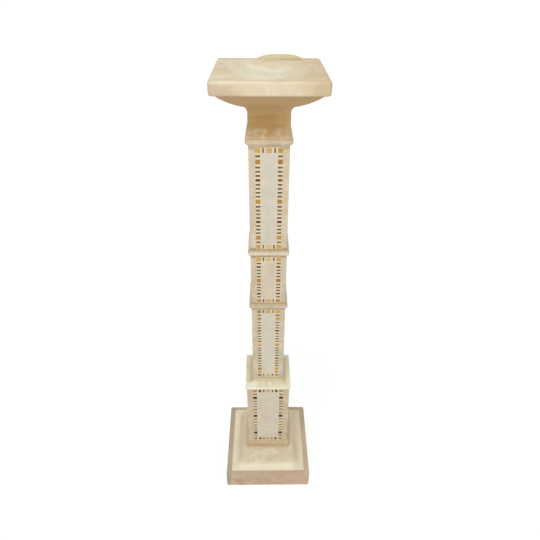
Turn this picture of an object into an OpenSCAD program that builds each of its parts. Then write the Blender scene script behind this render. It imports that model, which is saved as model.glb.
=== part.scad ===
// Square baptismal font in pale stone: a stepped pedestal of stacked blocks, each shaft face
// inlaid with a mosaic border round a plain field, under a square slab with a water dish.
// Millimetres, Z up, origin at the middle of the plinth's underside.

/* [Plinth] */
// Side of the square plinth
plinth_w = 232.5; // [222:0.5:250]
// Height of the plinth
plinth_h = 47; // [40:1:60]
// Plan radius of the plinth's corners
plinth_corner_r = 5; // [2:0.5:9]
// Bevel round the top of the plinth
plinth_bevel = 2; // [1:0.5:4]

/* [Base tile] */
// Side of the base tile at its rim
tile_w = 203.5; // [190:0.5:214]
// Height of the base tile
tile_h = 54; // [46:1:64]
// Thickness of the base tile at its rim
tile_edge_h = 3; // [2:0.5:6]
// Flat lip between the rim and the hollow
tile_lip = 2; // [1:0.5:5]
// Radius of the hollow that sweeps up from the lip
tile_cove_r = 21; // [14:0.5:26]
// Side of the level top that carries the foot block
tile_top_w = 137; // [128:1:144]

/* [Foot block] */
// Side of the foot block
foot_w = 120; // [116:1:126]
// Height of the foot block
foot_h = 18.5; // [15:0.5:26]
// Height of the bevel that runs in to the lower shaft
foot_bevel_h = 2; // [1:0.5:9]

/* [Lower shaft] */
// Side of the lower shaft
lower_shaft_w = 108.5; // [102:0.5:114]
// Height of the lower shaft
lower_shaft_h = 215.5; // [200:0.5:240]
// Stone left between the foot of the lower shaft and its mosaic
lower_mosaic_foot = 4.5; // [3:0.5:10]
// Stone left between the head of the lower shaft and its mosaic
lower_mosaic_head = 3.5; // [3:0.5:10]

/* [Waist collar] */
// Side of the waist collar at its rim
waist_w = 115.5; // [112:0.5:120]
// Height of the slope under the rim that runs in to the lower shaft
waist_taper_h = 2.5; // [1:0.5:5]
// Height of the rim face
waist_rim_h = 6.5; // [4:0.5:10]
// Radius of the hollow above the rim
waist_cove_r = 15; // [11:0.5:16]

/* [Stem] */
// Side of the three stem shafts
stem_w = 77; // [72:0.5:82]
// Height of the lower stem shaft
stem_lower_h = 233.5; // [218:0.5:260]
// Stone left between the foot of the lower stem shaft and its mosaic
stem_lower_mosaic_foot = 7.5; // [3:0.5:12]
// Stone left between the head of the lower stem shaft and its mosaic
stem_lower_mosaic_head = 6; // [3:0.5:12]
// Height of the middle stem shaft
stem_middle_h = 130; // [124:0.5:150]
// Stone left between the foot of the middle stem shaft and its mosaic
stem_middle_mosaic_foot = 3.5; // [3:0.5:10]
// Stone left between the head of the middle stem shaft and its mosaic
stem_middle_mosaic_head = 5; // [3:0.5:10]
// Height of the upper stem shaft
stem_upper_h = 225; // [213:0.5:255]
// Stone left between the foot of the upper stem shaft and its mosaic
stem_upper_mosaic_foot = 3.5; // [3:0.5:12]
// Stone left between the head of the upper stem shaft and its mosaic
stem_upper_mosaic_head = 4; // [3:0.5:12]

/* [Rings] */
// Side of the rings between the stem shafts
ring_w = 86.6; // [84.6:0.2:92]
// Height of the rounded face of each ring between the stem shafts
ring_face_h = 11; // [8:0.5:16]
// Height of the slope under each ring that runs in to the shaft below
ring_taper_h = 3; // [1:0.5:6]
// Rounding of the upper and lower edges of the rings
ring_edge_r = 3; // [1:0.5:3.5]
// Side of the ring under the neck
neck_ring_w = 88.4; // [87.4:0.2:92]
// Height of the rounded face of the ring under the neck
neck_ring_face_h = 7; // [7:0.5:12]
// Height of the slope under the neck's ring that runs in to the shaft below
neck_ring_taper_h = 6; // [2:0.5:8]

/* [Neck] */
// Height of the neck
neck_h = 59; // [50:1:70]
// Side of the neck at its foot
neck_foot_w = 85; // [82:0.5:87]
// Side of the neck at its head
neck_head_w = 91; // [86:0.5:92]
// Side of the neck where it is narrowest
neck_waist_w = 77.2; // [72:0.2:80]
// Height at which the neck has drawn in from its foot
neck_flare_z = 27; // [20:1:36]
// Height at which the neck starts to bow out to its head
neck_waist_z = 46.5; // [40:0.5:48]
// Height of the square fillet at the foot of the neck
neck_fillet_h = 4; // [2:0.5:7]

/* [Basin] */
// Side of the basin slab
slab_w = 197.5; // [188:0.5:210]
// Thickness of the basin slab
slab_h = 23.5; // [19:0.5:28]
// Rounding of the slab's upper and lower edges
slab_edge_r = 4; // [2:0.5:5]
// Plan radius of the slab's corners
slab_corner_r = 7; // [5:0.5:12]
// Height of the bowl that swells out under the slab
bowl_h = 30; // [26:0.5:38]
// Side of the bowl where it sits on the neck
bowl_foot_w = 92; // [88:0.5:96]
// Side of the bowl where it meets the slab
bowl_head_w = 182; // [172:0.5:184]
// Radius of the bowl's swelling side
bowl_r = 160; // [90:2:220]
// Level rim between the water dish and the middle of each side of the slab
dish_rim = 20; // [19:0.5:28]
// Depth of the water dish
dish_depth = 22; // [16:0.5:26]

/* [Crest] */
// Width of the low crest along the back edge
crest_w = 88; // [76:1:100]
// Height of the crest above the slab
crest_h = 8.5; // [5:0.5:9]
// Height by which the crest's arch would rise above its level top
crest_crown = 1.5; // [0.5:0.5:3]
// Thickness of the crest from front to back
crest_t = 14; // [13:0.5:15]
// Ledge behind the crest, up to the rounding of the slab's edge
crest_back = 1; // [0.5:0.5:2]
// Distance of the crest's middle to the right of the slab's middle
crest_x = 21; // [0:0.5:25]

/* [Mosaic] */
// Depth of the recess that holds the mosaic border and the field
recess_d = 6; // [5:0.5:8]
// Thickness of the tesserae
tessera_t = 4; // [3:0.25:4.5]
// Joint round each tessera in its pocket
tessera_clearance = 0.1; // [0.05:0.05:0.2]
// Width of the cement bed showing on both sides of a border
bed_edge = 1.5; // [1:0.25:2]
// Distance from the middle of a stem face to the middle of its side borders
stem_border_x = 21.2; // [20:0.1:23]
// Width of the stem's side borders
stem_border_w = 8.8; // [7:0.1:10]
// Height of the stem's gold tesserae
stem_gold_h = 9; // [7:0.1:10]
// Height of the stem's thin dark and brown tesserae
stem_thin_h = 3.6; // [2.8:0.1:4]
// Height of the stem's red tesserae
stem_red_h = 5.3; // [4:0.1:6]
// Width of the pale gold tesserae at the middle of the stem's end borders
stem_pale_w = 10.4; // [8:0.1:12]
// Width of the dark tesserae in the stem's end borders
stem_dark_w = 3; // [2:0.1:4]
// Distance from the middle of a lower shaft face to the middle of its side borders
lower_border_x = 34; // [32:0.1:36]
// Width of the lower shaft's side borders
lower_border_w = 10; // [8:0.1:11]
// Height of the lower shaft's gold tesserae
lower_gold_h = 8.4; // [7:0.1:10]
// Height of the lower shaft's thin dark and brown tesserae
lower_thin_h = 3.9; // [3:0.1:4.5]
// Height of the lower shaft's square red tesserae
lower_red_h = 10.5; // [8:0.1:11]
// Width of the pale gold tesserae in the lower shaft's end borders
lower_pale_w = 9; // [7:0.1:11]
// Width of the dark tesserae in the lower shaft's end borders
lower_dark_w = 4; // [3:0.1:5]
// Width of the red tesserae in the lower shaft's end borders
lower_red_w = 6.5; // [5:0.1:8]

/* [Tie rod] */
// Diameter of the tie rod that clamps the blocks together
rod_d = 12; // [10:1:14]
// Clearance round the rod in the bored stones, on the radius
rod_clearance = 1.5; // [1:0.25:3]
// Clearance of a thread on the rod, on the radius
thread_clearance = 0.1; // [0.05:0.05:0.2]
// Depth of the counterbore under the plinth
counterbore_depth = 26; // [24:1:32]
// Clearance round the washer in the counterbore, on the radius
counterbore_clearance = 4; // [2:0.5:6]
// Diameter of the washer
washer_d = 40; // [34:1:48]
// Thickness of the washer
washer_t = 3; // [2:0.5:4]
// Width of the nut across its flats
nut_flats = 19; // [17:1:24]
// Height of the nut
nut_h = 10; // [8:0.5:12]
// Length of rod standing out below the nut
rod_tail = 4; // [2:0.5:6]
// Diameter of the brass socket let into the basin
socket_d = 24; // [20:1:30]
// Depth to which the rod is screwed into the socket
rod_grip = 18; // [12:0.5:18]
// Brass left above the end of the rod
socket_cap = 4; // [3:0.5:6]

/* [Stone edges] */
// Plan radius of the vertical edges of the shafts, rings and neck
arris_r = 1.2; // [0.6:0.2:2]

/* [Hidden] */
$fn = 96;

// Stack of levels, from the floor up
tile_z = plinth_h;
foot_z = tile_z + tile_h;
lower_shaft_z = foot_z + foot_h;
waist_z = lower_shaft_z + lower_shaft_h;
waist_h = waist_taper_h + waist_rim_h + waist_cove_r;
ring_h = ring_taper_h + ring_face_h;
neck_ring_h = neck_ring_taper_h + neck_ring_face_h;
stem_lower_z = waist_z + waist_h;
lower_ring_z = stem_lower_z + stem_lower_h;
stem_middle_z = lower_ring_z + ring_h;
upper_ring_z = stem_middle_z + stem_middle_h;
stem_upper_z = upper_ring_z + ring_h;
neck_ring_z = stem_upper_z + stem_upper_h;
neck_z = neck_ring_z + neck_ring_h;
basin_z = neck_z + neck_h;
slab_z = basin_z + bowl_h;
top_z = slab_z + slab_h;
dish_r = slab_w / 2 - dish_rim;

// Mosaic letters: G gold, P pale gold, d dark, b brown, R red, read from the foot up or across
STEM_LONG = "GdGdbdRdbddGddbdRdbdGdG";
STEM_SHORT = "GdRdddGdddRdG";
LOWER_LONG = "GdRdbdGdRdGdbdRdG";
STEM_END = "GdPdG";
LOWER_END = "GRdPdRG";

// Height of a tessera in a side border, and width of one in an end border
function stem_size(mark) = mark == "G" ? stem_gold_h : mark == "R" ? stem_red_h : stem_thin_h;
function lower_size(mark) = mark == "G" ? lower_gold_h : mark == "R" ? lower_red_h : lower_thin_h;
function stem_end_size(mark) = mark == "G" ? stem_border_w : mark == "P" ? stem_pale_w : stem_dark_w;
function lower_end_size(mark) =
    mark == "G" ? lower_border_w : mark == "P" ? lower_pale_w : mark == "R" ? lower_red_w : lower_dark_w;

// One entry for each inlaid shaft: foot level, height, side, foot margin, head margin,
// border offset, border width, gold height, side border, end border
LOWER = 0;
STEM_LOWER = 1;
STEM_MIDDLE = 2;
STEM_UPPER = 3;
STAGES = [
    [lower_shaft_z, lower_shaft_h, lower_shaft_w, lower_mosaic_foot, lower_mosaic_head,
        lower_border_x, lower_border_w, lower_gold_h, LOWER_LONG, LOWER_END],
    [stem_lower_z, stem_lower_h, stem_w, stem_lower_mosaic_foot, stem_lower_mosaic_head,
        stem_border_x, stem_border_w, stem_gold_h, STEM_LONG, STEM_END],
    [stem_middle_z, stem_middle_h, stem_w, stem_middle_mosaic_foot, stem_middle_mosaic_head,
        stem_border_x, stem_border_w, stem_gold_h, STEM_SHORT, STEM_END],
    [stem_upper_z, stem_upper_h, stem_w, stem_upper_mosaic_foot, stem_upper_mosaic_head,
        stem_border_x, stem_border_w, stem_gold_h, STEM_LONG, STEM_END]
];
function foot_level(stage) = STAGES[stage][0];
function height(stage) = STAGES[stage][1];
function side(stage) = STAGES[stage][2];
function mosaic_l(stage) = height(stage) - STAGES[stage][3] - STAGES[stage][4];
function mosaic_z(stage) = foot_level(stage) + STAGES[stage][3] + mosaic_l(stage) / 2;
function border_x(stage) = STAGES[stage][5];
function border_w(stage) = STAGES[stage][6];
function gold_h(stage) = STAGES[stage][7];
function side_marks(stage) = STAGES[stage][8];
function end_marks(stage) = STAGES[stage][9];
function side_sizes(stage) =
    [for (mark = side_marks(stage)) stage == LOWER ? lower_size(mark) : stem_size(mark)];
function end_sizes(stage) =
    [for (mark = end_marks(stage)) stage == LOWER ? lower_end_size(mark) : stem_end_size(mark)];

// Middles of a run of tesserae, spread over a length with equal joints
function total(sizes, count) = count == 0 ? 0 : sizes[count - 1] + total(sizes, count - 1);
function joint(sizes, length) = (length - total(sizes, len(sizes))) / (len(sizes) - 1);
function middles(sizes, length) = [
    for (i = [0 : len(sizes) - 1])
        total(sizes, i) + sizes[i] / 2 + i * joint(sizes, length) - length / 2
];

// Half sizes of the recess and of the field inside the border
function recess_x(stage) = border_x(stage) + border_w(stage) / 2 + bed_edge;
function recess_z(stage) = mosaic_l(stage) / 2 + bed_edge;
function field_x(stage) = border_x(stage) - border_w(stage) / 2 - bed_edge;
function field_z(stage) = mosaic_l(stage) / 2 - gold_h(stage) - bed_edge;

// Rod, washer, nut and socket levels
bore_r = rod_d / 2 + rod_clearance;
thread_r = rod_d / 2 + thread_clearance;
washer_z = counterbore_depth - washer_t;
nut_z = washer_z - nut_h;
rod_z = nut_z - rod_tail;
rod_top_z = basin_z + rod_grip;
socket_h = rod_grip + socket_cap;
NUT_SIDES = 6;

OVER = 1;
AROUND = [0 : 90 : 270];

module rounded_square(half, corner_r) {
    square([2 * half, 2 * (half - corner_r)], center = true);
    square([2 * (half - corner_r), 2 * half], center = true);
    for (sx = [-1, 1], sy = [-1, 1])
        translate([sx * (half - corner_r), sy * (half - corner_r)])
            circle(corner_r);
}

// Runs an outline (across, up) round a square plan, with mitred corners
module moulded(width, height, corner_r) {
    intersection() {
        rotate([90, 0, 0])
            linear_extrude(width + 2 * OVER, center = true)
                children();
        rotate([90, 0, 90])
            linear_extrude(width + 2 * OVER, center = true)
                children();
        linear_extrude(height)
            rounded_square(width / 2, corner_r);
    }
}

// Takes away what lies outside an arc that leaves one point upright and bows out to another
module hollow(from, to) {
    run = to.x - from.x;
    rise = abs(to.y - from.y);
    r = (run * run + rise * rise) / (2 * run);
    low = min(from.y, to.y);
    intersection() {
        translate([from.x + r, from.y])
            circle(r);
        translate([from.x, low])
            square([2 * r, rise]);
    }
    translate([to.x, low])
        square([2 * r, rise]);
}

module both_sides() {
    children();
    mirror([1, 0])
        children();
}

module rod_bore(height) {
    translate([0, 0, -OVER])
        cylinder(r = bore_r, h = height + 2 * OVER);
}

// Outlines of the moulded stones, each from its own foot at y = 0

module plinth_outline() {
    half = plinth_w / 2;
    polygon([
        [-half, 0], [half, 0], [half, plinth_h - plinth_bevel], [half - plinth_bevel, plinth_h],
        [plinth_bevel - half, plinth_h], [-half, plinth_h - plinth_bevel]
    ]);
}

// A steep slope down from the level top meets the hollow where both run the same way
module tile_outline() {
    top = [tile_top_w / 2, tile_h];
    cove = [tile_w / 2 - tile_lip, tile_edge_h + tile_cove_r];
    away = cove - top;
    turn = atan2(away.y, away.x) - asin(tile_cove_r / norm(away));
    touch = top + sqrt(away * away - tile_cove_r * tile_cove_r) * [cos(turn), sin(turn)];
    both_sides()
        difference() {
            polygon([
                [0, 0], [tile_w / 2, 0], [tile_w / 2, tile_edge_h], [cove.x, tile_edge_h],
                touch, top, [0, tile_h]
            ]);
            translate(cove)
                circle(tile_cove_r);
        }
}

module foot_outline() {
    half = foot_w / 2;
    shaft_half = lower_shaft_w / 2;
    polygon([
        [-half, 0], [half, 0], [half, foot_h - foot_bevel_h], [shaft_half, foot_h],
        [-shaft_half, foot_h], [-half, foot_h - foot_bevel_h]
    ]);
}

module waist_outline() {
    half = waist_w / 2;
    shaft_half = lower_shaft_w / 2;
    rim_z = waist_taper_h + waist_rim_h;
    difference() {
        polygon([
            [-shaft_half, 0], [shaft_half, 0], [half, waist_taper_h],
            [half, waist_h], [-half, waist_h], [-half, waist_taper_h]
        ]);
        both_sides()
            hollow([stem_w / 2, waist_h], [stem_w / 2 + waist_cove_r, rim_z]);
    }
}

module ring_outline(width, height, taper_h) {
    half = width / 2;
    middle_x = half - ring_edge_r;
    lower_y = taper_h + ring_edge_r;
    upper_y = height - ring_edge_r;
    both_sides() {
        polygon([
            [0, 0], [stem_w / 2, 0], [middle_x, taper_h], [half, lower_y],
            [half, upper_y], [middle_x, height], [0, height]
        ]);
        for (y = [lower_y, upper_y])
            translate([middle_x, y])
                circle(ring_edge_r);
    }
}

module neck_outline() {
    waist = neck_waist_w / 2;
    difference() {
        translate([-neck_head_w / 2, 0])
            square([neck_head_w, neck_h]);
        both_sides() {
            translate([neck_foot_w / 2, -OVER])
                square([neck_head_w, neck_fillet_h + 2 * OVER]);
            hollow([waist, neck_flare_z], [neck_foot_w / 2, neck_fillet_h]);
            translate([waist, neck_flare_z - OVER])
                square([neck_head_w, neck_waist_z - neck_flare_z + 2 * OVER]);
            hollow([waist, neck_waist_z], [neck_head_w / 2, neck_h]);
        }
    }
}

module bowl_outline() {
    foot = [bowl_foot_w / 2, 0];
    head = [bowl_head_w / 2, bowl_h];
    chord = norm(head - foot);
    rise = sqrt(bowl_r * bowl_r - chord * chord / 4);
    middle = (foot + head) / 2 + [foot.y - head.y, head.x - foot.x] * rise / chord;
    both_sides()
        intersection() {
            translate(middle)
                circle(bowl_r);
            translate([-OVER, 0])
                square([bowl_head_w / 2 + OVER, bowl_h]);
        }
}

module slab_outline() {
    translate([0, slab_h / 2]) {
        square([slab_w, slab_h - 2 * slab_edge_r], center = true);
        square([slab_w - 2 * slab_edge_r, slab_h], center = true);
        for (sx = [-1, 1], sy = [-1, 1])
            translate([sx * (slab_w / 2 - slab_edge_r), sy * (slab_h / 2 - slab_edge_r)])
                circle(slab_edge_r);
    }
}

// Crest seen from the front: an arch whose crown is levelled off by the ridge
module crest_outline() {
    arch_h = crest_h + crest_crown;
    arch_r = (crest_w * crest_w / 4 + arch_h * arch_h) / (2 * arch_h);
    intersection() {
        translate([0, arch_h - arch_r])
            circle(arch_r);
        translate([-crest_w / 2 - OVER, -slab_edge_r])
            square([crest_w + 2 * OVER, slab_edge_r + arch_h + OVER]);
    }
}

module crest() {
    ridge_r = (crest_t * crest_t / 4 + crest_h * crest_h) / (2 * crest_h);
    translate([crest_x, slab_w / 2 - slab_edge_r - crest_back - crest_t / 2, slab_h])
        intersection() {
            rotate([90, 0, 0])
                linear_extrude(crest_t, center = true)
                    crest_outline();
            translate([0, 0, crest_h - ridge_r])
                rotate([0, 90, 0])
                    cylinder(r = ridge_r, h = crest_w + 2 * OVER, center = true);
        }
}

// Places children on the four faces of a shaft: x across, y into the stone, z up from the mosaic's middle
module on_faces(stage) {
    for (turn = AROUND)
        rotate([0, 0, turn])
            translate([0, -side(stage) / 2, mosaic_z(stage)])
                children();
}

module slip(half_x, half_z, thickness) {
    translate([-half_x, 0, -half_z])
        cube([2 * half_x, thickness, 2 * half_z]);
}

// Tesserae of one colour on one face, or all of them where mark is "all", each grown by a joint
module face_tesserae(stage, mark, joint) {
    sides = side_sizes(stage);
    side_at = middles(sides, mosaic_l(stage));
    half_w = border_w(stage) / 2;
    for (i = [0 : len(sides) - 1])
        if (mark == "all" || side_marks(stage)[i] == mark)
            for (x = [-border_x(stage), border_x(stage)])
                translate([x, 0, side_at[i]])
                    slip(half_w + joint, sides[i] / 2 + joint, tessera_t);
    ends = end_sizes(stage);
    end_at = middles(ends, 2 * border_x(stage) + border_w(stage));
    end_z = (mosaic_l(stage) - gold_h(stage)) / 2;
    for (i = [1 : len(ends) - 2])
        if (mark == "all" || end_marks(stage)[i] == mark)
            for (z = [-end_z, end_z])
                translate([end_at[i], 0, z])
                    slip(ends[i] / 2 + joint, gold_h(stage) / 2 + joint, tessera_t);
}

module tesserae(mark) {
    for (stage = [0 : len(STAGES) - 1])
        on_faces(stage)
            face_tesserae(stage, mark, 0);
}

module shaft(stage) {
    difference() {
        translate([0, 0, foot_level(stage)])
            linear_extrude(height(stage))
                rounded_square(side(stage) / 2, arris_r);
        translate([0, 0, foot_level(stage)])
            rod_bore(height(stage));
        on_faces(stage)
            translate([0, -OVER, 0])
                slip(recess_x(stage), recess_z(stage), recess_d + OVER);
    }
}

module field(stage) {
    on_faces(stage)
        slip(field_x(stage), field_z(stage), recess_d);
}

module bed(stage) {
    on_faces(stage)
        difference() {
            slip(recess_x(stage), recess_z(stage), recess_d);
            translate([0, -OVER, 0])
                slip(field_x(stage), field_z(stage), recess_d + 2 * OVER);
            face_tesserae(stage, "all", tessera_clearance);
        }
}

// Stones

module plinth() {
    color("rosybrown")
        difference() {
            moulded(plinth_w, plinth_h, plinth_corner_r)
                plinth_outline();
            rod_bore(plinth_h);
            translate([0, 0, -OVER])
                cylinder(r = washer_d / 2 + counterbore_clearance, h = counterbore_depth + OVER);
        }
}

module base_tile() {
    color("wheat")
        translate([0, 0, tile_z])
            difference() {
                moulded(tile_w, tile_h, arris_r)
                    tile_outline();
                rod_bore(tile_h);
            }
}

module foot_block() {
    color("tan")
        translate([0, 0, foot_z])
            difference() {
                moulded(foot_w, foot_h, arris_r)
                    foot_outline();
                rod_bore(foot_h);
            }
}

module lower_shaft() {
    color("tan")
        shaft(LOWER);
}

module waist_collar() {
    color("wheat")
        translate([0, 0, waist_z])
            difference() {
                moulded(waist_w, waist_h, arris_r)
                    waist_outline();
                rod_bore(waist_h);
            }
}

module stem_shaft_lower() {
    color("burlywood")
        shaft(STEM_LOWER);
}

module lower_ring() {
    color("wheat")
        translate([0, 0, lower_ring_z])
            difference() {
                moulded(ring_w, ring_h, arris_r)
                    ring_outline(ring_w, ring_h, ring_taper_h);
                rod_bore(ring_h);
            }
}

module stem_shaft_middle() {
    color("burlywood")
        shaft(STEM_MIDDLE);
}

module upper_ring() {
    color("wheat")
        translate([0, 0, upper_ring_z])
            difference() {
                moulded(ring_w, ring_h, arris_r)
                    ring_outline(ring_w, ring_h, ring_taper_h);
                rod_bore(ring_h);
            }
}

module stem_shaft_upper() {
    color("burlywood")
        shaft(STEM_UPPER);
}

module neck_ring() {
    color("wheat")
        translate([0, 0, neck_ring_z])
            difference() {
                moulded(neck_ring_w, neck_ring_h, arris_r)
                    ring_outline(neck_ring_w, neck_ring_h, neck_ring_taper_h);
                rod_bore(neck_ring_h);
            }
}

module neck() {
    color("peru")
        translate([0, 0, neck_z])
            difference() {
                moulded(neck_head_w, neck_h, arris_r)
                    neck_outline();
                rod_bore(neck_h);
            }
}

// Space of the water dish: a spherical cap hung from the level of the slab
module dish_space() {
    sphere_r = (dish_r * dish_r + dish_depth * dish_depth) / (2 * dish_depth);
    rotate_extrude()
        intersection() {
            translate([0, sphere_r - dish_depth])
                circle(sphere_r);
            translate([0, -dish_depth - OVER])
                square([dish_r + OVER, dish_depth + 2 * OVER]);
        }
}

module basin() {
    color("antiquewhite")
        difference() {
            union() {
                translate([0, 0, basin_z])
                    moulded(bowl_head_w, bowl_h, arris_r)
                        bowl_outline();
                translate([0, 0, slab_z]) {
                    moulded(slab_w, slab_h, slab_corner_r)
                        slab_outline();
                    crest();
                }
            }
            translate([0, 0, top_z])
                dish_space();
            translate([0, 0, basin_z - OVER])
                cylinder(d = socket_d, h = socket_h + OVER);
        }
}

// Plain fields and cement beds in the shaft faces

module lower_field() {
    color("lightgrey")
        field(LOWER);
}

module stem_lower_field() {
    color("lightgrey")
        field(STEM_LOWER);
}

module stem_middle_field() {
    color("lightgrey")
        field(STEM_MIDDLE);
}

module stem_upper_field() {
    color("lightgrey")
        field(STEM_UPPER);
}

module lower_bed() {
    color("ivory")
        bed(LOWER);
}

module stem_lower_bed() {
    color("ivory")
        bed(STEM_LOWER);
}

module stem_middle_bed() {
    color("ivory")
        bed(STEM_MIDDLE);
}

module stem_upper_bed() {
    color("ivory")
        bed(STEM_UPPER);
}

// Tesserae, by colour

module gold_tesserae() {
    color("goldenrod")
        tesserae("G");
}

module pale_gold_tesserae() {
    color("khaki")
        tesserae("P");
}

module dark_tesserae() {
    color("darkslategrey")
        tesserae("d");
}

module brown_tesserae() {
    color("sienna")
        tesserae("b");
}

module red_tesserae() {
    color("brown")
        tesserae("R");
}

// Clamping hardware

module tie_rod() {
    color("silver")
        translate([0, 0, rod_z])
            cylinder(d = rod_d, h = rod_top_z - rod_z);
}

module tie_washer() {
    color("silver")
        translate([0, 0, washer_z])
            difference() {
                cylinder(d = washer_d, h = washer_t);
                translate([0, 0, -OVER])
                    cylinder(r = rod_d / 2 + rod_clearance / 2, h = washer_t + 2 * OVER);
            }
}

module tie_nut() {
    color("silver")
        translate([0, 0, nut_z])
            difference() {
                cylinder(r = nut_flats / sqrt(3), h = nut_h, $fn = NUT_SIDES);
                translate([0, 0, -OVER])
                    cylinder(r = thread_r, h = nut_h + 2 * OVER);
            }
}

module rod_socket() {
    color("gold")
        translate([0, 0, basin_z])
            difference() {
                cylinder(d = socket_d, h = socket_h);
                translate([0, 0, -OVER])
                    cylinder(r = thread_r, h = rod_grip + 2 * OVER);
            }
}

plinth();
base_tile();
foot_block();
lower_shaft();
waist_collar();
stem_shaft_lower();
lower_ring();
stem_shaft_middle();
upper_ring();
stem_shaft_upper();
neck_ring();
neck();
basin();
lower_field();
stem_lower_field();
stem_middle_field();
stem_upper_field();
lower_bed();
stem_lower_bed();
stem_middle_bed();
stem_upper_bed();
gold_tesserae();
pale_gold_tesserae();
dark_tesserae();
brown_tesserae();
red_tesserae();
tie_rod();
tie_washer();
tie_nut();
rod_socket();
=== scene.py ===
import math
import bmesh
import bpy
from mathutils import Matrix, Vector, noise


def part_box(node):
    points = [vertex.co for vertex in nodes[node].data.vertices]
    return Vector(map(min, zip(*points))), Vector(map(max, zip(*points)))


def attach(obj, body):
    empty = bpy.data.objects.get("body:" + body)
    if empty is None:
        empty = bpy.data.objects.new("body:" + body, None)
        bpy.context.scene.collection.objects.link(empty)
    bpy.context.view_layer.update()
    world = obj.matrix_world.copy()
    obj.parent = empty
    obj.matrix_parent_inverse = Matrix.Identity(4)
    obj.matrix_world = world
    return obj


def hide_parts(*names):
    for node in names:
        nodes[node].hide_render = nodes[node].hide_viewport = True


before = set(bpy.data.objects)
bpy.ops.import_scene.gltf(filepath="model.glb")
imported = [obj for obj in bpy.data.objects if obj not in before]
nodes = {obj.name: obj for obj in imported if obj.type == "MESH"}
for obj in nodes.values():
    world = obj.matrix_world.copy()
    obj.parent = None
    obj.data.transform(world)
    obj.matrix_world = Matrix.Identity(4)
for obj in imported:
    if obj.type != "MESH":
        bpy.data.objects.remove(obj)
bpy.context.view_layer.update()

mm = 0.001
scene = bpy.context.scene
scene.view_settings.view_transform = "Standard"

# camera at standing height, looking down at the front face
cameraSetup = {
    "height": 1264.4 * mm,
    "distance": 834.35 * mm,       # from the font's axis, along the floor
    "sideStep": -9.3 * mm,
    "pitchDown": 33.48,            # degrees, as are the next two
    "yawRight": 0.875,
    "roll": 0.37,
    "focalPixels": 452.6,
    "framePixels": 540,
    "centreRow": 255,              # row of the optical axis
    "sensorWidth": 36,             # mm
}


def makeCamera(s):
    data = bpy.data.cameras.new("camera")
    data.sensor_width = s["sensorWidth"]
    data.lens = s["focalPixels"] / s["framePixels"] * data.sensor_width
    data.shift_y = (s["centreRow"] - s["framePixels"] / 2) / s["framePixels"]
    pitch, yaw, roll = (math.radians(s[k]) for k in ("pitchDown", "yawRight", "roll"))
    forward = Vector((math.sin(yaw) * math.cos(pitch), math.cos(yaw) * math.cos(pitch), -math.sin(pitch)))
    right = Vector((math.cos(yaw), -math.sin(yaw), 0))
    up = right.cross(forward)
    turnedRight = right * math.cos(roll) + up * math.sin(roll)
    turnedUp = up * math.cos(roll) - right * math.sin(roll)
    camera = bpy.data.objects.new("camera", data)
    axes = Matrix((turnedRight, turnedUp, -forward)).transposed().to_4x4()
    camera.matrix_world = Matrix.Translation((s["sideStep"], -s["distance"], s["height"])) @ axes
    scene.collection.objects.link(camera)
    scene.camera = camera


makeCamera(cameraSetup)
print("camera placed")


def linearColour(hexCode):
    # an sRGB hex colour by the standard's own curve, with full alpha
    parts = [int(hexCode[i:i + 2], 16) / 255 for i in (0, 2, 4)]
    return tuple(((p + 0.055) / 1.055) ** 2.4 if p > 0.04045 else p / 12.92 for p in parts) + (1.0,)


def addNode(tree, kind, settings=None, inputs=None):
    # adds a node, sets it, links or fills its inputs, and hands back its outputs
    made = tree.nodes.new(kind)
    for key, value in (settings or {}).items():
        setattr(made, key, value)
    for key, value in (inputs or {}).items():
        if isinstance(value, bpy.types.NodeSocket):
            tree.links.new(value, made.inputs[key])
        else:
            made.inputs[key].default_value = value
    return made.outputs


def newMaterial(name):
    material = bpy.data.materials.new(name)
    material.use_nodes = True
    material.node_tree.nodes.clear()
    return material, material.node_tree


# settings that many nodes share
softRamp = {"interpolation_type": "SMOOTHSTEP"}
colourMix = {"data_type": "RGBA", "blend_type": "MIX"}
colourTint = {"data_type": "RGBA", "blend_type": "MULTIPLY"}
add, subtract, multiply, maximum, scale, length = (
    {"operation": name} for name in ("ADD", "SUBTRACT", "MULTIPLY", "MAXIMUM", "SCALE", "LENGTH"))

# how finely each of a stone's patterns breaks up
stoneNoises = {
    "swirl": {"Detail": 2.0, "Roughness": 0.5},
    "clouds": {"Detail": 5.0, "Roughness": 0.55},
    "bands": {"Detail": 3.0, "Roughness": 0.5},
    "veins": {"Detail": 4.0, "Roughness": 0.6},
    "mottling": {"Detail": 4.0, "Roughness": 0.6},
    "grain": {"Detail": 3.0, "Roughness": 0.65},
    "flecks": {"Detail": 2.0, "Roughness": 0.5},
}


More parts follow.
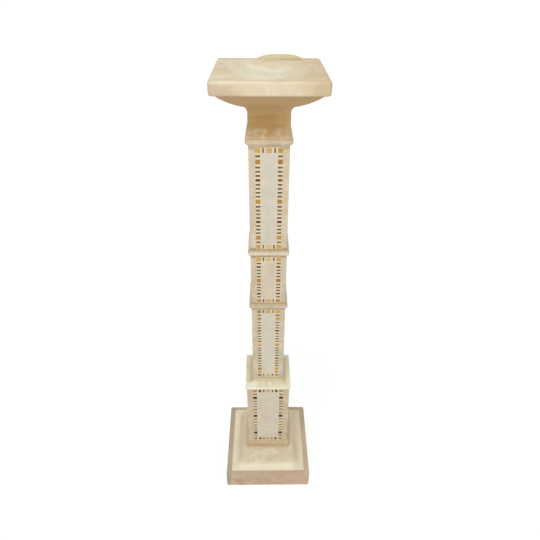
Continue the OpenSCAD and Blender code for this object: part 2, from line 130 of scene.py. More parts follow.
def makeStone(look):
    material, tree = newMaterial(look["name"])
    place = addNode(tree, "ShaderNodeTexCoord")["Object"]
    shifted = addNode(tree, "ShaderNodeVectorMath", add, {0: place, 1: look["shift"]})[0]

    # clouds, with their edges pushed about by a swirl
    swirl = addNode(tree, "ShaderNodeTexNoise", None,
                    {"Vector": shifted, "Scale": 1 / (look["cloudSize"] * mm),
                     **stoneNoises["swirl"]})["Color"]
    push = addNode(tree, "ShaderNodeVectorMath", scale, {0: swirl, "Scale": look["swirl"] * mm})[0]
    warped = addNode(tree, "ShaderNodeVectorMath", add, {0: shifted, 1: push})[0]
    clouds = addNode(tree, "ShaderNodeTexNoise", None,
                     {"Vector": warped, "Scale": 1 / (look["cloudSize"] * mm),
                      **stoneNoises["clouds"]})["Fac"]
    low, high = look["cloudRange"]
    share = addNode(tree, "ShaderNodeMapRange", softRamp,
                    {"Value": clouds, "From Min": low, "From Max": high})[0]
    colour = addNode(tree, "ShaderNodeMix", colourMix,
                     {0: share, 6: linearColour(look["base"]), 7: linearColour(look["cloud"])})[2]

    # bedding: the same kind of noise drawn out along the bed
    bedding = addNode(tree, "ShaderNodeMapping", None,
                      {"Vector": warped, "Rotation": tuple(math.radians(a) for a in look["bandTilt"]),
                       "Scale": look["bandStretch"]})[0]
    bands = addNode(tree, "ShaderNodeTexNoise", None,
                    {"Vector": bedding, "Scale": 1 / (look["bandSize"] * mm),
                     **stoneNoises["bands"]})["Fac"]
    low, high = look["bandRange"]
    share = addNode(tree, "ShaderNodeMapRange", softRamp,
                    {"Value": bands, "From Min": low, "From Max": high, "To Max": look["bandShare"]})[0]
    colour = addNode(tree, "ShaderNodeMix", colourMix,
                     {0: share, 6: colour, 7: linearColour(look["band"])})[2]

    # veins: thin lines where a noise passes its middle
    lines = addNode(tree, "ShaderNodeTexNoise", None,
                    {"Vector": warped, "Scale": 1 / (look["veinSize"] * mm),
                     **stoneNoises["veins"]})["Fac"]
    ridge = addNode(tree, "ShaderNodeMath", subtract, {0: lines, 1: 0.5})[0]
    ridge = addNode(tree, "ShaderNodeMath", {"operation": "ABSOLUTE"}, {0: ridge})[0]
    share = addNode(tree, "ShaderNodeMapRange", softRamp,
                    {"Value": ridge, "From Min": 0.0, "From Max": look["veinWidth"],
                     "To Min": look["veinShare"], "To Max": 0.0})[0]
    colour = addNode(tree, "ShaderNodeMix", colourMix,
                     {0: share, 6: colour, 7: linearColour(look["vein"])})[2]

    # marks, some of the block's own colour and some painted light and shade: full inside a box, fading
    # over its edge, which the swirl makes uneven
    for mark in look["marks"]:
        fade = mark["fade"] * mm
        wobble = addNode(tree, "ShaderNodeVectorMath", scale, {0: swirl, "Scale": fade})[0]
        spot = addNode(tree, "ShaderNodeVectorMath", add, {0: place, 1: wobble})[0]
        boxLow, boxHigh = ([span[end] * mm + fade / 2 for span in mark["box"]] for end in (0, 1))
        below = addNode(tree, "ShaderNodeVectorMath", subtract, {0: boxLow, 1: spot})[0]
        above = addNode(tree, "ShaderNodeVectorMath", subtract, {0: spot, 1: boxHigh})[0]
        outside = addNode(tree, "ShaderNodeVectorMath", maximum, {0: below, 1: above})[0]
        outside = addNode(tree, "ShaderNodeVectorMath", maximum, {0: outside})[0]
        away = addNode(tree, "ShaderNodeVectorMath", length, {0: outside})["Value"]
        share = addNode(tree, "ShaderNodeMapRange", softRamp,
                        {"Value": away, "From Min": 0.0, "From Max": fade,
                         "To Min": mark["share"], "To Max": 0.0})[0]
        if mark["mottle"]:
            spots = addNode(tree, "ShaderNodeTexNoise", None,
                            {"Vector": shifted, "Scale": 1 / (mark["mottle"] * mm),
                             **stoneNoises["mottling"]})["Fac"]
            low, high = look["mottleRange"]
            patchy = addNode(tree, "ShaderNodeMapRange", softRamp,
                             {"Value": spots, "From Min": low, "From Max": high})[0]
            share = addNode(tree, "ShaderNodeMath", multiply, {0: share, 1: patchy})[0]
        colour = addNode(tree, "ShaderNodeMix", colourMix,
                         {0: share, 6: colour, 7: linearColour(mark["colour"])})[2]

    # grain lightens and darkens the whole, flecks lie on top
    fleckSize = look["grainSize"] * look["fleckToGrain"]
    grain = addNode(tree, "ShaderNodeTexNoise", None,
                    {"Vector": shifted, "Scale": 1 / (look["grainSize"] * mm),
                     **stoneNoises["grain"]})["Fac"]
    flecks = addNode(tree, "ShaderNodeTexNoise", None,
                     {"Vector": shifted, "Scale": 1 / (fleckSize * mm),
                      **stoneNoises["flecks"]})["Fac"]
    low, high = look["grainRange"]
    shade = addNode(tree, "ShaderNodeMapRange", softRamp,
                    {"Value": grain, "From Min": low, "From Max": high,
                     "To Min": 1.0 - look["grainShare"],
                     "To Max": 1.0 + look["grainShare"] * look["grainLift"]})[0]
    shadeColour = addNode(tree, "ShaderNodeCombineColor", None, {0: shade, 1: shade, 2: shade})[0]
    colour = addNode(tree, "ShaderNodeMix", colourTint, {0: 1.0, 6: colour, 7: shadeColour})[2]
    low, high = look["fleckRange"]
    share = addNode(tree, "ShaderNodeMapRange", softRamp,
                    {"Value": flecks, "From Min": low, "From Max": high, "To Max": look["fleckShare"]})[0]
    colour = addNode(tree, "ShaderNodeMix", colourMix,
                     {0: share, 6: colour, 7: linearColour(look["fleck"])})[2]

    smooth, coarse = look["roughness"]
    low, high = look["roughRange"]
    rough = addNode(tree, "ShaderNodeMapRange", softRamp,
                    {"Value": clouds, "From Min": low, "From Max": high,
                     "To Min": smooth, "To Max": coarse})[0]
    relief = addNode(tree, "ShaderNodeMath", {"operation": "MULTIPLY_ADD"},
                     {0: flecks, 1: look["fleckRelief"], 2: grain})[0]
    bump = addNode(tree, "ShaderNodeBump", None,
                   {"Strength": look["bump"], "Distance": look["relief"] * mm, "Height": relief})[0]
    shader = addNode(tree, "ShaderNodeBsdfPrincipled", None,
                     {"Base Color": colour, "Roughness": rough, "Normal": bump,
                      "Specular IOR Level": look["shine"]})[0]
    addNode(tree, "ShaderNodeOutputMaterial", None, {"Surface": shader})
    return material


# a plain honed limestone, which each look below changes in part; sizes in mm
plainStone = {
    "base": "D6C6A6", "cloud": "C8B591", "band": "DCCFB4", "vein": "EEE6D2", "fleck": "B79C78",
    "shift": (0.0, 0.0, 0.0),      # metres, so that no two blocks are cut from the same place
    "cloudSize": 55.0, "cloudRange": (0.38, 0.64), "swirl": 30.0,
    "bandSize": 24.0, "bandRange": (0.48, 0.62), "bandShare": 0.35,
    "bandTilt": (8, 5, 0),         # degrees: the bed lies nearly level in a block
    "bandStretch": (0.18, 0.18, 1.0),
    "veinSize": 80.0, "veinWidth": 0.018, "veinShare": 0.25,
    "grainSize": 1.6,              # real grains are about 0.3 mm across: drawn coarser, so that they show
    "grainRange": (0.3, 0.7), "grainShare": 0.065, "grainLift": 0.6,
    "fleckToGrain": 4.5,           # shell pieces of about 2 mm stand out of a pattern of 7 mm
    "fleckRange": (0.66, 0.74), "fleckShare": 0.28, "mottleRange": (0.46, 0.6),
    "roughness": (0.5, 0.66), "roughRange": (0.3, 0.7),
    "relief": 0.12, "fleckRelief": 0.6, "bump": 0.5,     # the first in mm
    "shine": 0.3,                  # calcite that is only honed reflects less than polished stone does
    "marks": (),
}
stoneLooks = {
    # sawn and left so: matt and even in light, and every fleck shows
    "sawnPinkLimestone": dict(
        plainStone, base="CBB296", cloud="BBA183", band="D6BFA6", vein="DCCAB2", fleck="9A7F63",
        cloudSize=28.0, fleckShare=0.35, grainShare=0.07),
    # honed: a soft sheen on the lit slopes, pale veins under it
    "honedCreamLimestone": dict(
        plainStone, base="DACCAC", cloud="CFC09D", band="E3D8BC", vein="F3ECDA", fleck="CDB78F",
        cloudSize=46.0, veinShare=0.2),
    # honed in small pieces: smooth lips that take the light, with short clouds
    "honedRingLimestone": dict(
        plainStone, base="DCCDB2", cloud="CDBC9E", band="E6D9C2", vein="EFE6D2", cloudSize=26.0),
    # honed flat: quiet warm faces round the borders
    "honedWarmLimestone": dict(plainStone, base="D8C7AA", cloud="CDBA9A"),
    # sawn: duller and darker than the shaft that stands on it
    "sawnFootLimestone": dict(plainStone, base="CBB790", cloud="BFA67C", band="D2BD9C"),
    # honed: a deep and even amber, without veins
    "honedAmberLimestone": dict(
        plainStone, base="BC975E", cloud="B18A52", band="C7A36E", vein="CDAA7C", fleck="C9A37A",
        cloudSize=40.0, bandShare=0.4, veinShare=0.0),
    # honed across the bed: long slanting bands in a pale, smooth face
    "honedBandedLimestone": dict(
        plainStone, base="DDCAAB", cloud="D0BE9C", band="E5D7BB", vein="F0E7D2", fleck="D0B68E",
        cloudSize=60.0, bandTilt=(20, 32, 0), bandSize=30.0, bandShare=0.5, veinSize=90.0),
    # honed: flat panels, cooler than the shaft and with few flecks
    "honedGreyLimestone": dict(
        plainStone, base="D5CCB8", cloud="CFC6B3", band="DCD5C4", vein="E6E0D2", fleck="B0A38E",
        cloudSize=34.0, veinShare=0.15, fleckShare=0.12, shift=(0.9, 0.0, 0.3)),
    # lime cement, trowelled: chalky, without any sheen, and the sand in it shows
    "trowelledMosaicCement": dict(
        plainStone, base="E1D4B8", cloud="D8C9AB", band="E8DDC5", vein="E8DDC5", fleck="C4B08C",
        cloudSize=20.0, veinShare=0.0, bandShare=0.1, grainSize=0.9, grainShare=0.08,
        roughness=(0.75, 0.9), relief=0.2),
}
print("stone looks set", len(stoneLooks))

# tesserae of leafed glass and of cut stone, each a little different from the next
tesseraLooks = {
    # gold leaf fired under glass: a bright, wet-looking gleam that jumps from tessera to tessera
    "firedGoldGlass": {"light": "D2A430", "deep": "9C7010", "roughness": (0.18, 0.38), "metal": 0.35,
                       "coat": 0.5, "shine": 0.5, "lowerDeeper": 0.2},
    # thinner leaf: paler, with a softer gleam
    "firedPaleGoldGlass": {"light": "D6BB78", "deep": "C4A056", "roughness": (0.25, 0.42), "metal": 0.15,
                           "coat": 0.4, "shine": 0.5, "lowerDeeper": 0.3},
    # dark stone, cut and rubbed: nearly matt, only its edges glint
    "cutDarkStone": {"light": "76644C", "deep": "483A2D", "roughness": (0.4, 0.6), "metal": 0.0,
                     "coat": 0.05, "shine": 0.5, "lowerDeeper": 0.5},
    # brown stone, cut and rubbed: as matt, between the gold and the dark
    "cutBrownStone": {"light": "926F53", "deep": "684834", "roughness": (0.4, 0.6), "metal": 0.0,
                      "coat": 0.05, "shine": 0.4, "lowerDeeper": 0.3},
    # red stone, cut and rubbed: a deep, dry rust colour with hardly any gleam
    "cutRedStone": {"light": "905E36", "deep": "5C2C0E", "roughness": (0.35, 0.55), "metal": 0.0,
                    "coat": 0.05, "shine": 0.25, "lowerDeeper": 0.9},
}
tesseraFinish = {
    "cloudSize": 4.0,              # mm, half a large tessera, so that none is of one tone all over
    "cloud": {"Detail": 3.0, "Roughness": 0.6},
    "cloudShare": 0.7,             # how far the cloud moves a tessera's own tone
    "lowerTop": (0.34, 0.35),      # metres: tesserae below this height are deeper in tone
    "roughRange": (0.3, 0.7),
    "rippleSize": 2.2,             # mm, the hand-cut face
    "ripple": {"Detail": 2.0, "Roughness": 0.5},
    "rippleDepth": 0.15,           # mm
    "bump": 0.4,
    "coatRoughness": 0.12,
}


def makeTesseraMaterial(name, look, s):
    material, tree = newMaterial(name)
    place = addNode(tree, "ShaderNodeTexCoord")["Object"]
    tone = addNode(tree, "ShaderNodeAttribute", {"attribute_name": "tone"})["Fac"]
    cloud = addNode(tree, "ShaderNodeTexNoise", None,
                    {"Vector": place, "Scale": 1 / (s["cloudSize"] * mm), **s["cloud"]})["Fac"]
    blend = addNode(tree, "ShaderNodeMath", {"operation": "MULTIPLY_ADD"},
                    {0: cloud, 1: s["cloudShare"], 2: -s["cloudShare"] / 2})[0]
    share = addNode(tree, "ShaderNodeMath", add, {0: tone, 1: blend})[0]
    height = addNode(tree, "ShaderNodeSeparateXYZ", None, {0: place})["Z"]
    low, high = s["lowerTop"]
    deeper = addNode(tree, "ShaderNodeMapRange", softRamp,
                     {"Value": height, "From Min": low, "From Max": high,
                      "To Min": look["lowerDeeper"], "To Max": 0.0})[0]
    share = addNode(tree, "ShaderNodeMath", dict(subtract, use_clamp=True), {0: share, 1: deeper})[0]
    colour = addNode(tree, "ShaderNodeMix", colourMix,
                     {0: share, 6: linearColour(look["deep"]), 7: linearColour(look["light"])})[2]
    low, high = s["roughRange"]
    smooth, coarse = look["roughness"]
    rough = addNode(tree, "ShaderNodeMapRange", softRamp,
                    {"Value": cloud, "From Min": low, "From Max": high,
                     "To Min": smooth, "To Max": coarse})[0]
    ripple = addNode(tree, "ShaderNodeTexNoise", None,
                     {"Vector": place, "Scale": 1 / (s["rippleSize"] * mm), **s["ripple"]})["Fac"]
    bump = addNode(tree, "ShaderNodeBump", None,
                   {"Strength": s["bump"], "Distance": s["rippleDepth"] * mm, "Height": ripple})[0]
    shader = addNode(tree, "ShaderNodeBsdfPrincipled", None,
                     {"Base Color": colour, "Roughness": rough, "Normal": bump, "Metallic": look["metal"],
                      "Specular IOR Level": look["shine"], "Coat Weight": look["coat"],
                      "Coat Roughness": s["coatRoughness"]})[0]
    addNode(tree, "ShaderNodeOutputMaterial", None, {"Surface": shader})
    return material


tesseraMaterials = {name: makeTesseraMaterial(name, look, tesseraFinish)
                    for name, look in tesseraLooks.items()}

# metals of the clamping hardware
metalLooks = {
    # zinc plate on steel: grey and a little clouded, with a soft gleam
    "zincPlatedSteel": {"light": "B9BDC0", "dark": "8C9195", "roughness": (0.28, 0.45), "streak": 3.0},
    # turned brass: warm, and brighter where the tool ran
    "turnedBrass": {"light": "C7A460", "dark": "A07F3E", "roughness": (0.22, 0.38), "streak": 1.2},
}
metalFinish = {                    # real tool marks are about 0.1 mm apart: the streaks are drawn coarser
    "cloudSize": 9.0, "cloud": {"Detail": 4.0, "Roughness": 0.6},
    "colourRange": (0.35, 0.65), "roughRange": (0.3, 0.7),
    "streak": {"Detail": 3.0, "Roughness": 0.5}, "streakDepth": 0.05, "bump": 0.3,
}


def makeMetal(name, look, s):
    material, tree = newMaterial(name)
    place = addNode(tree, "ShaderNodeTexCoord")["Object"]
    cloud = addNode(tree, "ShaderNodeTexNoise", None,
                    {"Vector": place, "Scale": 1 / (s["cloudSize"] * mm), **s["cloud"]})["Fac"]
    low, high = s["colourRange"]
    share = addNode(tree, "ShaderNodeMapRange", softRamp,
                    {"Value": cloud, "From Min": low, "From Max": high})[0]
    colour = addNode(tree, "ShaderNodeMix", colourMix,
                     {0: share, 6: linearColour(look["light"]), 7: linearColour(look["dark"])})[2]
    low, high = s["roughRange"]
    smooth, coarse = look["roughness"]
    rough = addNode(tree, "ShaderNodeMapRange", softRamp,
                    {"Value": cloud, "From Min": low, "From Max": high,
                     "To Min": smooth, "To Max": coarse})[0]
    streaks = addNode(tree, "ShaderNodeTexNoise", None,
                      {"Vector": place, "Scale": 1 / (look["streak"] * mm), **s["streak"]})["Fac"]
    bump = addNode(tree, "ShaderNodeBump", None,
                   {"Strength": s["bump"], "Distance": s["streakDepth"] * mm, "Height": streaks})[0]
    shader = addNode(tree, "ShaderNodeBsdfPrincipled", None,
                     {"Base Color": colour, "Roughness": rough, "Normal": bump, "Metallic": 1.0})[0]
    addNode(tree, "ShaderNodeOutputMaterial", None, {"Surface": shader})
    return material


metals = {name: makeMetal(name, look, metalFinish) for name, look in metalLooks.items()}
print("tessera and metal materials mixed")

# each block's stone, its place in the quarry, which shifts the patterns, and its marks: some its own
# colour, some painted light and shade
anyWidth = (-999, 999)
anyHeight = (-999, 9999)


def markOf(colour, share, fade, x=anyWidth, y=anyWidth, z=anyHeight, mottle=0):
    # part of a block given another colour, in some marks the stone's own and in others painted light and
    # shade: how much of it, how softly it ends, its box, and the size of its mottling; all in mm from the
    # font's axis and the floor
    return {"colour": colour, "share": share, "fade": fade, "box": (x, y, z), "mottle": mottle}


stoneBlocks = {
    "plinth": {
        "stone": "sawnPinkLimestone", "slot": "pink_limestone", "seat": (0.3, 0.1, 0.0),
        "marks": (
            markOf("CFAE94", 0.35, 70, x=(40, 120), y=(-120, -100), z=(0, 25)),  # pinker low on the right
            markOf("A0937A", 0.8, 16, x=(-120, -114)),  # painted shade on the left face
            # painted shade on the plinth's top ledge around the tile
            markOf("BDAF96", 0.5, 2, z=(46.5, 48)))},
    "base_tile": {
        "stone": "honedCreamLimestone", "slot": "cream_limestone", "seat": (0.0, 0.7, 0.0),
        "marks": (
            markOf("F8F0D9", 0.7, 12, z=(46, 50)),  # painted light on the rim and the flat outer edge of the hollow
            markOf("CFC1A3", 0.5, 14, z=(76, 110)),  # painted shade on the steep upper part of the hollow
            markOf("C6B997", 0.2, 14, x=(-104, -88), z=(46, 70)),
            markOf("BFAF8E", 0.35, 18, x=(80, 104), z=(46, 54)),
            # painted light on the steep left and right slopes of the hollow, taking out their shade
            markOf("E4D3B2", 0.45, 8, x=(-86, -62), y=(-66, 100), z=(60, 104)),
            markOf("E4D4B5", 0.5, 8, x=(62, 86), y=(-66, 100), z=(60, 104)),
            markOf("EEE6D2", 0.32, 16, x=(-42, 22), y=(-110, -75), z=(58, 98), mottle=20))},
    "foot_block": {
        "stone": "sawnFootLimestone", "slot": "warm_limestone", "seat": (0.2, 0.4, 0.1),
        "marks": (
            markOf("CDB39B", 0.5, 1.5, z=(118, 120)),)},
    "lower_shaft": {
        "stone": "honedWarmLimestone", "slot": "warm_limestone", "seat": (0.7, 0.1, 0.2),
        "tones": {"base": "CFBEA2", "cloud": "C4B293"},
        "marks": (
            # painted shade under the waist collar
            markOf("AE8C60", 0.5, 4, z=(333, 336)),)},
    "waist_collar": {
        "stone": "honedCreamLimestone", "slot": "cream_limestone", "seat": (0.1, 0.2, 0.5),
        "marks": (
            markOf("F8F2DF", 0.6, 3, z=(335, 343)),  # paler rim
            markOf("C6B994", 0.65, 5, z=(349, 360)),  # painted shade in the hollow, where it meets the shaft
            markOf("C2B491", 0.45, 12, x=(-60, -44), y=(16, 60)),
            # painted highlight on the front left corner of the rim
            markOf("FBF5E4", 0.5, 8, x=(-60, -30), y=(-62, -44), z=(338, 347)),
            markOf("F0EAD9", 0.45, 8, x=(-34, 22), y=(-75, -45), z=(346, 358), mottle=11))},
    "stem_shaft_lower": {
        "stone": "honedWarmLimestone", "slot": "warm_limestone", "seat": (0.4, 0.9, 0.3),
        "tones": {"base": "D1C7AD", "cloud": "C6BA9C", "band": "D8D0B8"},
        "marks": (
            # painted shade under the lower ring, and a fainter one where the shaft stands on the waist
            # collar
            markOf("AE8C60", 0.5, 4, z=(588.5, 594)),
            markOf("AE8C60", 0.2, 3, z=(358, 361)))},
    "lower_ring": {
        "stone": "honedRingLimestone", "slot": "cream_limestone", "seat": (0.6, 0.3, 0.8),
        "tones": {"base": "D3C6AF", "cloud": "C6B79B"},
        "marks": (
            # painted shade on the ring's front ledge, at the foot of the shaft above
            markOf("B09A78", 0.5, 2, y=(-48, -37), z=(604.5, 607)),)},
    "stem_shaft_middle": {
        "stone": "honedWarmLimestone", "slot": "warm_limestone", "seat": (0.8, 0.6, 0.0),
        "tones": {"base": "CFBFA3", "cloud": "C5B395"},
        "marks": (
            # painted shade under the upper ring, and a fainter one where the shaft stands on the lower
            # ring
            markOf("AE8C60", 0.6, 4, z=(732, 738)),
            markOf("AE8C60", 0.2, 3, z=(606, 609)))},
    "upper_ring": {
        "stone": "honedRingLimestone", "slot": "cream_limestone", "seat": (0.2, 0.8, 0.4),
        "tones": {"base": "DFD3BC", "cloud": "D2C4AA"},
        "marks": (
            # painted shade on the ring's front ledge, at the foot of the shaft above
            markOf("AE9570", 0.65, 2, y=(-48, -37), z=(748.5, 751)),)},
    "stem_shaft_upper": {
        "stone": "honedWarmLimestone", "slot": "warm_limestone", "seat": (0.5, 0.0, 0.6),
        "tones": {"base": "D8CAB0", "cloud": "CDBDA0"},
        "marks": (
            # painted shade under the neck ring, and where the shaft stands on the upper ring
            markOf("AE8C60", 0.6, 4, z=(970.5, 977)),
            markOf("A88653", 0.65, 3, z=(750, 754.5)))},
    "neck_ring": {
        "stone": "honedRingLimestone", "slot": "cream_limestone", "seat": (0.9, 0.5, 0.2),
        "marks": (
            markOf("C6AC86", 0.5, 2, z=(984, 990)),)},
    "neck": {
        "stone": "honedAmberLimestone", "slot": "amber_limestone", "seat": (0.2, 0.0, 0.4),
        "marks": (
            markOf("AC8349", 0.5, 14, x=(-18, 4), z=(1014, 1028)),  # darker knot
            markOf("C5A26E", 0.8, 4, z=(1034, 1048)),
            markOf("CDB48E", 0.5, 12, x=(38, 60), z=(985, 1044)),
            markOf("BFA27B", 0.6, 22, x=(-60, -14), z=(988, 998)),
            markOf("BFA27B", 0.6, 22, x=(20, 60), z=(988, 998)),
            markOf("CBB594", 0.5, 7, z=(984, 991)),  # paler foot
            markOf("DCCBB2", 0.5, 8, x=(-60, -44), z=(984, 1012)),
            markOf("E4D5C2", 0.34, 9, x=(-46, -10), z=(988, 1002), mottle=9),
            markOf("E4D5C2", 0.3, 9, x=(16, 28), z=(992, 1004), mottle=9))},
    "basin": {
        "stone": "honedBandedLimestone", "slot": "banded_basin_stone", "seat": (0.5, 0.2, 0.1),
        "marks": (
            markOf("C6BA9A", 0.3, 6, y=(-88, 100), z=(1084, 1112)),  # painted shade over the top, the dish, the crest and the back
            markOf("B2AA8C", 0.65, 36, x=(86, 100), y=(-88, 100), z=(1092, 1102)),
            markOf("D6DAC4", 0.3, 34, x=(-36, 44), y=(24, 46), z=(1079, 1095)),
            markOf("D8DCC6", 0.4, 34, x=(-60, 70), y=(20, 60), z=(1079, 1097), mottle=30),
            markOf("F3F5E8", 0.28, 10, x=(-38, -6), y=(52, 54), z=(1083, 1094)),
            markOf("EEF3E4", 0.18, 10, x=(0, 38), y=(46, 47), z=(1083, 1094)),
            # painted shade at the foot of the crest and along the back edge behind it
            markOf("AE9C7C", 0.3, 5, x=(-8, 52), y=(76, 80), z=(1099, 1103)),
            markOf("A0916F", 0.4, 8, y=(86, 100), z=(1099, 1101)),
            # painted shade in a thin line just behind the top's front edge
            markOf("A0916F", 0.32, 3, y=(-93, -87), z=(1099, 1102)),
            markOf("C9BE98", 0.5, 1.5, z=(1102.5, 1112)),  # crest
            markOf("CFAE7E", 0.4, 60, x=(85, 100)),  # warmer to the right
            markOf("C8AA90", 0.6, 26, x=(-100, -70), y=(-100, -90), z=(1077, 1092), mottle=44),
            # painted highlight along the left of the front top edge
            markOf("F3E8D2", 0.3, 5, x=(-97, -40), y=(-100, -94), z=(1099, 1101)),
            markOf("C5A16F", 0.92, 1.5, z=(1040, 1076.5)))},
}


def settle(made, name, material, replaced):
    made.name = name
    made.data.name = name
    made.data.materials.clear()
    made.data.materials.append(material)
    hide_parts(replaced)
    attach(made, "root")
    return made


def bakeModifiers(worked):
    depsgraph = bpy.context.evaluated_depsgraph_get()
    mesh = bpy.data.meshes.new_from_object(worked.evaluated_get(depsgraph), depsgraph=depsgraph)
    worked.modifiers.clear()
    worked.data = mesh
    return worked


easing = {
    "weld": 0.004,                 # mm, joins the loose triangles of a plain solid
    "flatten": 0.4,                # degrees, below which two triangles are one face
    "sharp": 32,                   # degrees, above which an edge is eased
    "segments": 3,
}


def easedCopy(nodeName, ease):
    mesh = nodes[nodeName].data.copy()
    shape = bmesh.new()
    shape.from_mesh(mesh)
    bmesh.ops.remove_doubles(shape, verts=shape.verts, dist=easing["weld"] * mm)
    bmesh.ops.dissolve_limit(shape, angle_limit=math.radians(easing["flatten"]),
                             verts=shape.verts, edges=shape.edges)
    shape.to_mesh(mesh)
    shape.free()
    for face in mesh.polygons:
        face.use_smooth = True
    worked = bpy.data.objects.new(nodeName + "Eased", mesh)
    scene.collection.objects.link(worked)
    edges = worked.modifiers.new("easedEdges", "BEVEL")
    edges.width = ease * mm
    edges.segments = easing["segments"]
    edges.limit_method = "ANGLE"
    edges.angle_limit = math.radians(easing["sharp"])
    edges.harden_normals = True
    edges.use_clamp_overlap = True
    return bakeModifiers(worked)


# moulded stones: an eased profile carried round a square plan
def sweep(centre, radius, fromTurn, toTurn, steps=10):
    # points on an arc, its turns in degrees; the 0 says that none of them is eased again
    turns = [math.radians(fromTurn + (toTurn - fromTurn) * i / steps) for i in range(steps + 1)]
    return [(centre[0] + radius * math.cos(t), centre[1] + radius * math.sin(t), 0) for t in turns]


def hollowSweep(upright, reached, steps=10):
    # arc that leaves one point upright and bows out to another, listed from the upright one
    run = reached[0] - upright[0]
    rise = reached[1] - upright[1]
    radius = (run * run + rise * rise) / (2 * run)
    turn = math.degrees(math.asin(abs(rise) / radius))
    return sweep((upright[0] + radius, upright[1]), radius, 180, 180 - math.copysign(turn, rise), steps)


def bulge(foot, head, radius, steps=12):
    # arc of a given radius that swells out between two points
    run, rise = head[0] - foot[0], head[1] - foot[1]
    chord = math.hypot(run, rise)
    lean = math.sqrt(radius * radius - chord * chord / 4) / chord
    centre = ((foot[0] + head[0]) / 2 - rise * lean, (foot[1] + head[1]) / 2 + run * lean)
    begin, end = (math.degrees(math.atan2(p[1] - centre[1], p[0] - centre[0])) for p in (foot, head))
    return sweep(centre, radius, begin, end, steps)


arcs = {
    "sideShare": 0.45,             # most that one arc may take of a side
    "small": 2, "smallSteps": 4,   # arcs under this radius, in mm, need fewer steps
    "largeSteps": 7,
}


def easedPath(profile, closed):
    # swaps each sharp point (half width, height, ease, plan) for a short arc, and says where wear bites
    path = []
    for i, point in enumerate(profile):
        here, ease = Vector(point[:2]), point[2]
        plan = point[3] if len(point) > 3 else "square"
        if not ease or (not closed and i in (0, len(profile) - 1)):
            path.append((here.x, here.y, plan, Vector((0, 0))))
            continue
        before = Vector(profile[i - 1][:2]) - here
        after = Vector(profile[(i + 1) % len(profile)][:2]) - here
        bend = before.angle(after)
        longest = min(before.length * arcs["sideShare"], after.length * arcs["sideShare"])
        reach = min(ease / math.tan(bend / 2), longest)
        halfway = (before.normalized() + after.normalized()).normalized()
        middle = here + halfway * reach / math.cos(bend / 2)
        first = before.normalized() * reach + here - middle
        last = after.normalized() * reach + here - middle
        begin = math.atan2(first.y, first.x)
        swing = (math.atan2(last.y, last.x) - begin + math.pi) % (2 * math.pi) - math.pi
        steps = arcs["smallSteps"] if ease < arcs["small"] else arcs["largeSteps"]
        for k in range(steps + 1):
            turn = begin + swing * k / steps
            spoke = Vector((math.cos(turn), math.sin(turn)))
            spot = middle + spoke * first.length
            bite = -spoke * math.sin(math.pi * k / steps) if swing > 0 else Vector((0, 0))
            path.append((spot.x, spot.y, plan, bite))
    return path


def planRing(half, radius, arcSteps, sideSteps):
    # one trip round a square with rounded corners, the same number of points whatever the radius
    ring = []
    reach = half - radius
    for corner in range(4):
        base = corner * math.pi / 2
        along = Vector((math.cos(base), math.sin(base)))
        across = Vector((-math.sin(base), math.cos(base)))
        for k in range(arcSteps + 1):
            turn = math.pi / 2 * k / arcSteps
            ahead, aside = reach + radius * math.cos(turn), reach + radius * math.sin(turn)
            ring.append(along * ahead + across * aside)
        for k in range(1, sideSteps):
            ring.append(across * half + along * reach * (1 - 2 * k / sideSteps))
    return ring


wearing = {
    "cornerRun": 10,               # mm in from the widest, over which the plan's corners change radius
    "chips": 0.09,                 # waves per mm along an arris, long and short
    "nicks": 0.35,
    "nickShare": 0.5,
    "everywhere": 0.55,            # how much of the arris wears at all
}


def carryRound(name, profile, footZ, corner, soft, wear, closed=True, arcSteps=5, sideSteps=14):
    path = easedPath(profile, closed)
    widest = max(x for x, _, plan, _ in path if plan == "square")
    headings = [spot.normalized() for spot in planRing(widest, corner, arcSteps, sideSteps)]
    verts = []
    for x, z, plan, bite in path:
        if plan == "round":
            ring = [heading * x for heading in headings]
        else:
            radius = corner + (soft - corner) * min((widest - x) / wearing["cornerRun"], 1.0)
            ring = planRing(x, radius, arcSteps, sideSteps)
        for spot in ring:
            outward = spot.normalized()
            place = Vector((spot.x, spot.y, z + footZ))
            chance = noise.noise(place * wearing["chips"]) + wearing["everywhere"]
            chance += wearing["nickShare"] * noise.noise(place * wearing["nicks"])
            depth = wear * max(0.0, chance) ** 2
            worn = spot + outward * bite.x * depth
            verts.append((worn.x * mm, worn.y * mm, (footZ + z + bite.y * depth) * mm))
    around = 4 * (arcSteps + sideSteps)
    faces = []
    for i in range(len(path) if closed else len(path) - 1):
        this, following = i * around, (i + 1) % len(path) * around
        for k in range(around):
            after = (k + 1) % around
            faces.append((this + k, this + after, following + after, following + k))
    if not closed:
        faces.append(tuple(reversed(range(around))))
        faces.append(tuple(range((len(path) - 1) * around, len(path) * around)))
    mesh = bpy.data.meshes.new(name)
    mesh.from_pydata(verts, [], faces)
    mesh.validate()
    for face in mesh.polygons:
        face.use_smooth = True
    made = bpy.data.objects.new(name, mesh)
    scene.collection.objects.link(made)
    return made


largeFaceWeight = 60               # keeps the shading of flat faces flat up to their eased edges


def weighNormals(worked):
    weights = worked.modifiers.new("largeFacesFirst", "WEIGHTED_NORMAL")
    weights.weight = largeFaceWeight
    weights.keep_sharp = True
    return bakeModifiers(worked)


boreHalf = 7.5                     # half width of the bore for the tie rod, mm


def bored(outer, topZ, ease=0.5):
    return outer + [(boreHalf, topZ, ease, "round"), (boreHalf, 0, ease, "round")]


